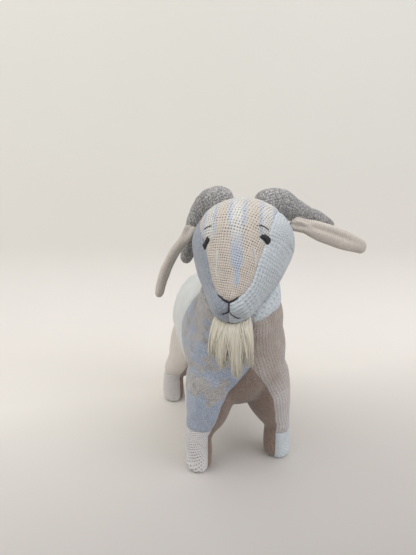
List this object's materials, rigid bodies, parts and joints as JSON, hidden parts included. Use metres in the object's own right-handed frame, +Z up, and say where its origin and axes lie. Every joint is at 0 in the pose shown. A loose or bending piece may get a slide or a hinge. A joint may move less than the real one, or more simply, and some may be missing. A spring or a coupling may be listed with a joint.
{
  "type": "stuffed goat toy",
  "caption": "Standing soft goat sewn from patches of knitted cloth, with stuffed curved horns, tube ears, a fur beard and an embroidered face.",
  "frame": {"origin": "on the floor, under the middle of the object's bounding box", "axes": "+Z up, +X to the goat's own left, -Y the way its body faces"},
  "size_m": [0.1965, 0.2609, 0.2846],
  "materials": {
    "cream_knit": "matt cream fine knit",
    "taupe_knit": "matt taupe rib knit",
    "floral_knit": "matt blue-grey knit with a beige flower pattern",
    "pale_blue_knit": "matt pale blue knit",
    "grey_beige_knit": "matt grey-beige knit",
    "blue_knit": "matt grey-blue knit",
    "beige_knit": "matt beige knit",
    "brown_knit": "matt brown felted knit",
    "white_grey_knit": "matt white-grey moss-stitch knit",
    "grey_knit": "matt grey knit",
    "striped_knit": "matt beige knit with cream and pale blue stripes",
    "horn_knit": "matt grey knit",
    "ear_knit": "matt beige knit",
    "cream_pile": "long matt cream pile",
    "black_floss": "matt black cotton floss",
    "stuffing": "matt white fibre"
  },
  "bodies": {
    "torso": {"body_side_left": "cream_knit", "body_side_right": "cream_knit", "chest_left": "taupe_knit", "chest_right": "floral_knit", "neck_left": "pale_blue_knit", "neck_right": "floral_knit", "front_leg_left": "grey_beige_knit", "front_leg_right": "blue_knit", "rear_leg_left": "beige_knit", "rear_leg_right": "beige_knit", "belly_gusset": "brown_knit", "hoof_front_left": "pale_blue_knit", "hoof_front_right": "white_grey_knit", "hoof_rear_left": "grey_knit", "hoof_rear_right": "grey_knit", "torso_fill": "stuffing", "leg_fill_front_left": "stuffing", "leg_fill_front_right": "stuffing", "leg_fill_rear_left": "stuffing", "leg_fill_rear_right": "stuffing"},
    "head": {"head_gusset": "striped_knit", "head_side_left": "pale_blue_knit", "head_side_right": "blue_knit", "head_fill": "stuffing", "eye_left": "black_floss", "eye_right": "black_floss", "brow_left": "black_floss", "brow_right": "black_floss", "nose_stitch": "black_floss", "mouth_stitch": "black_floss", "horn_left": "horn_knit", "horn_right": "horn_knit", "horn_fill_left": "stuffing", "horn_fill_right": "stuffing"},
    "ear_left": {"ear_left": "ear_knit"},
    "ear_right": {"ear_right": "ear_knit"},
    "beard": {"beard": "cream_pile"},
    "tail": {"tail": "beige_knit"}
  },
  "joints": [
    {"name": "head_turn", "type": "hinge", "parent": "torso", "child": "head", "pos_m": [-0.018, -0.0681, 0.233], "axis": [0, 0, 1], "range_deg": [-15, 15], "stiffness_Nm_per_rad": 0.4},
    {"name": "ear_left_flop", "type": "hinge", "parent": "head", "child": "ear_left", "pos_m": [0.03149, -0.08152, 0.25045], "axis": [0.3412, 0.6697, 0.6596], "range_deg": [-15, 50]},
    {"name": "ear_right_flop", "type": "hinge", "parent": "head", "child": "ear_right", "pos_m": [-0.06446, -0.04181, 0.24227], "axis": [0.4452, 0.8737, -0.1961], "range_deg": [-8, 55]},
    {"name": "beard_swing", "type": "hinge", "parent": "head", "child": "beard", "pos_m": [-0.04299, -0.11934, 0.1685], "axis": [0.891, -0.454, 0], "range_deg": [-35, 12]},
    {"name": "tail_wag", "type": "hinge", "parent": "torso", "child": "tail", "pos_m": [-0.018, 0.09963, 0.15072], "axis": [1, 0, 0], "range_deg": [-15, 25], "stiffness_Nm_per_rad": 0.02}
  ]
}
